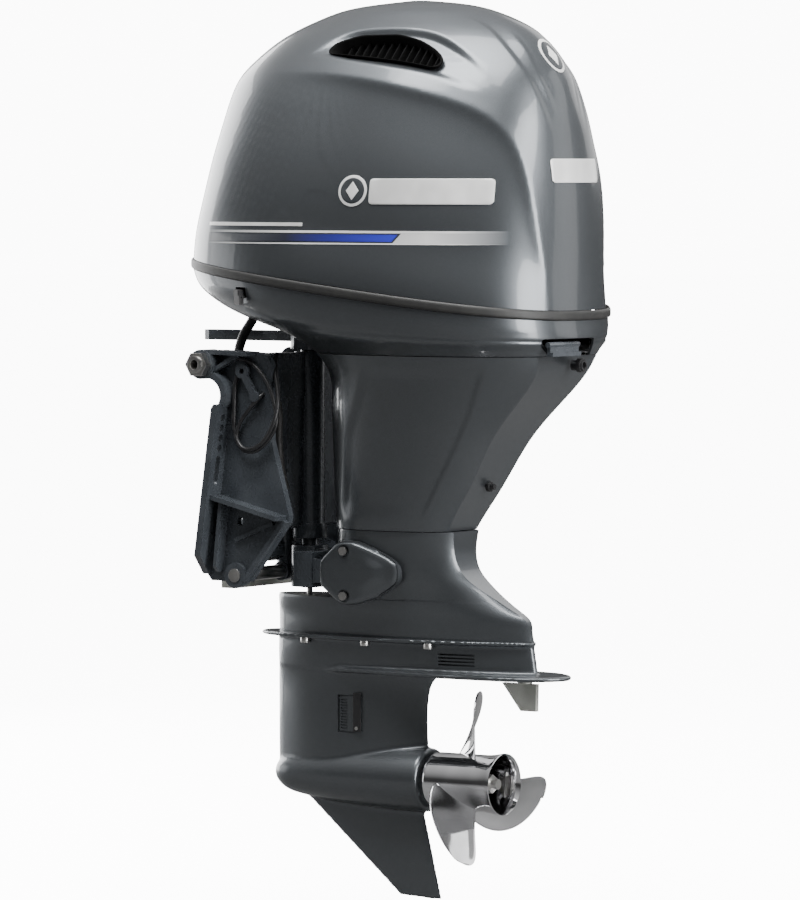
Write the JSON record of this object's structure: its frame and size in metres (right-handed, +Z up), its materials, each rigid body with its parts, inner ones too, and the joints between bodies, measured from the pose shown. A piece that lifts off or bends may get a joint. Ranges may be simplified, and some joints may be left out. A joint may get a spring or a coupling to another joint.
{
  "type": "outboard motor",
  "caption": "Four-stroke outboard motor with cowling, powerhead, clamp bracket, power trim and tilt, steering, gearcase and three-blade propeller, all on working joints.",
  "frame": {"origin": "centre of the tilt tube, on the motor's centre plane, with the driveshaft upright. The top aft edge of the transom is 40 mm aft of it and 25 mm below it", "axes": "+X aft, away from the boat; +Y starboard; +Z up along the driveshaft"},
  "size_m": [0.7935, 0.506, 1.5735],
  "materials": {
    "painted_grey": "metallic clear coat",
    "bracket_paint": "satin",
    "rubber": "matt",
    "black_plastic": "moulded",
    "stainless": "turned",
    "polished_stainless": "polished",
    "gear_steel": "machined",
    "cast_alloy": "cast",
    "engine_black": "satin",
    "bush_bronze": "turned",
    "zinc": "dull zinc"
  },
  "bodies": {
    "clamp": {"clamp_bracket_port": "bracket_paint", "clamp_bracket_starboard": "bracket_paint", "tilt_tube": "stainless", "tilt_tube_nuts": "stainless", "lower_pin": "stainless", "ptt_unit": "bracket_paint", "bracket_anode": "zinc"},
    "support_lever": {"tilt_support_lever": "bracket_paint"},
    "tilt_barrel": {"tilt_cylinder": "bracket_paint"},
    "tilt_ram": {"tilt_rod": "stainless"},
    "trim_rams": {"trim_rods": "stainless"},
    "swivel": {"swivel_bracket": "bracket_paint", "swivel_bushes": "bush_bronze"},
    "motor": {"steering_arm": "bracket_paint", "lower_yoke": "bracket_paint", "bottom_cowl": "painted_grey", "cowl_seal": "rubber", "rigging_grommet": "rubber", "flush_connector": "black_plastic", "telltale": "black_plastic", "apron": "painted_grey", "upper_case": "painted_grey", "mount_covers": "painted_grey", "case_bolts": "stainless", "mount_rubbers": "rubber", "engine_plate": "cast_alloy", "oil_pan": "cast_alloy", "exhaust_tube": "cast_alloy", "cylinder_block": "cast_alloy", "cylinder_head": "cast_alloy", "head_cover": "black_plastic", "pistons": "cast_alloy", "timing_belt": "rubber", "intake_manifold": "black_plastic", "electrics": "black_plastic", "starter_motor": "engine_black", "oil_filter": "engine_black", "gearcase": "painted_grey", "water_inlet_covers": "black_plastic", "water_pump": "cast_alloy", "bearing_carrier": "cast_alloy"},
    "cowl": {"top_cowl": "painted_grey", "intake_screens": "black_plastic"},
    "tilt_switch": {"ptt_switch": "black_plastic"},
    "rear_latch": {"rear_latch_lever": "bracket_paint"},
    "front_latch": {"front_latch_lever": "bracket_paint"},
    "crank": {"crankshaft": "gear_steel", "flywheel": "gear_steel", "driveshaft": "stainless", "pinion": "gear_steel"},
    "gear_forward": {"forward_gear": "gear_steel"},
    "gear_reverse": {"reverse_gear": "gear_steel"},
    "prop": {"propshaft": "stainless", "propeller": "polished_stainless", "propeller_blades": "polished_stainless"},
    "dog": {"clutch_dog": "gear_steel"},
    "cam_port": {"camshaft_port": "gear_steel"},
    "cam_starboard": {"camshaft_starboard": "gear_steel"},
    "shift": {"shift_rod": "stainless"},
    "tab": {"trim_tab": "zinc"}
  },
  "joints": [
    {"name": "tilt", "type": "hinge", "parent": "clamp", "child": "swivel", "pos_m": [0, 0, 0], "axis": [0, -1, 0], "range_deg": [0, 70]},
    {"name": "steer", "type": "hinge", "parent": "swivel", "child": "motor", "pos_m": [0.11, 0, -0.025], "axis": [0, 0, 1], "range_deg": [-26, 26]},
    {"name": "support_lever_turn", "type": "hinge", "parent": "clamp", "child": "support_lever", "pos_m": [0.078, -0.16, -0.011], "axis": [0, -1, 0], "range_deg": [0, 55]},
    {"name": "tilt_barrel_turn", "type": "hinge", "parent": "clamp", "child": "tilt_barrel", "pos_m": [0.059, 0, -0.371], "axis": [0, 1, 0], "range_deg": [0, 2.4]},
    {"name": "tilt_ram_slide", "type": "slide", "parent": "tilt_barrel", "child": "tilt_ram", "axis": [-0.028, 0, 0.9996], "range_m": [0, 0.081]},
    {"name": "trim_rams_slide", "type": "slide", "parent": "clamp", "child": "trim_rams", "axis": [0.866, 0, 0.5], "range_m": [0, 0.046]},
    {"name": "cowl_lift", "type": "slide", "parent": "motor", "child": "cowl", "axis": [0, 0, 1], "range_m": [0, 0.42]},
    {"name": "tilt_switch_rock", "type": "hinge", "parent": "motor", "child": "tilt_switch", "pos_m": [0.12075, -0.23015, 0.121], "axis": [0.9272, -0.3746, 0], "range_deg": [-8, 8]},
    {"name": "rear_latch_turn", "type": "hinge", "parent": "motor", "child": "rear_latch", "pos_m": [0.6715, -0.052, 0.043], "axis": [0, -1, 0], "range_deg": [0, 45]},
    {"name": "front_latch_turn", "type": "hinge", "parent": "motor", "child": "front_latch", "pos_m": [-0.09, -0.022, 0.167], "axis": [0, 1, 0], "range_deg": [0, 45]},
    {"name": "crank_spin", "type": "hinge", "parent": "motor", "child": "crank", "pos_m": [0.215, 0, 0.175], "axis": [0, 0, 1], "continuous": true},
    {"name": "forward_gear_spin", "type": "hinge", "parent": "motor", "child": "gear_forward", "pos_m": [0.19, 0, -0.728], "axis": [1, 0, 0], "continuous": true},
    {"name": "reverse_gear_spin", "type": "hinge", "parent": "motor", "child": "gear_reverse", "pos_m": [0.24, 0, -0.728], "axis": [1, 0, 0], "continuous": true},
    {"name": "prop_spin", "type": "hinge", "parent": "motor", "child": "prop", "pos_m": [0.37, 0, -0.728], "axis": [1, 0, 0], "continuous": true},
    {"name": "dog_slide", "type": "slide", "parent": "prop", "child": "dog", "axis": [1, 0, 0], "range_m": [0, 0.005]},
    {"name": "cam_port_spin", "type": "hinge", "parent": "motor", "child": "cam_port", "pos_m": [0.442, -0.04, 0.275], "axis": [0, 0, 1], "continuous": true},
    {"name": "cam_starboard_spin", "type": "hinge", "parent": "motor", "child": "cam_starboard", "pos_m": [0.442, 0.04, 0.275], "axis": [0, 0, 1], "continuous": true},
    {"name": "shift_turn", "type": "hinge", "parent": "motor", "child": "shift", "pos_m": [0.11, 0, 0.075], "axis": [0, 0, 1], "range_deg": [0, 30]},
    {"name": "trim_tab_turn", "type": "hinge", "parent": "motor", "child": "tab", "pos_m": [0.562, 0, -0.555], "axis": [0, 0, 1], "range_deg": [-15, 15]}
  ],
  "couplings": [
    {"joint": "tilt_barrel_turn", "follows": "tilt", "ratio": 0.0333},
    {"joint": "tilt_ram_slide", "follows": "tilt", "m_per_rad": 0.0653},
    {"joint": "trim_rams_slide", "follows": "tilt", "m_per_rad": 0.0368},
    {"joint": "forward_gear_spin", "follows": "crank_spin", "ratio": 0.46429},
    {"joint": "reverse_gear_spin", "follows": "crank_spin", "ratio": -0.46429},
    {"joint": "prop_spin", "follows": "crank_spin", "ratio": 0.46429},
    {"joint": "cam_port_spin", "follows": "crank_spin", "ratio": 0.5},
    {"joint": "cam_starboard_spin", "follows": "crank_spin", "ratio": 0.5},
    {"joint": "dog_slide", "follows": "shift_turn", "m_per_rad": 0.0095}
  ]
}
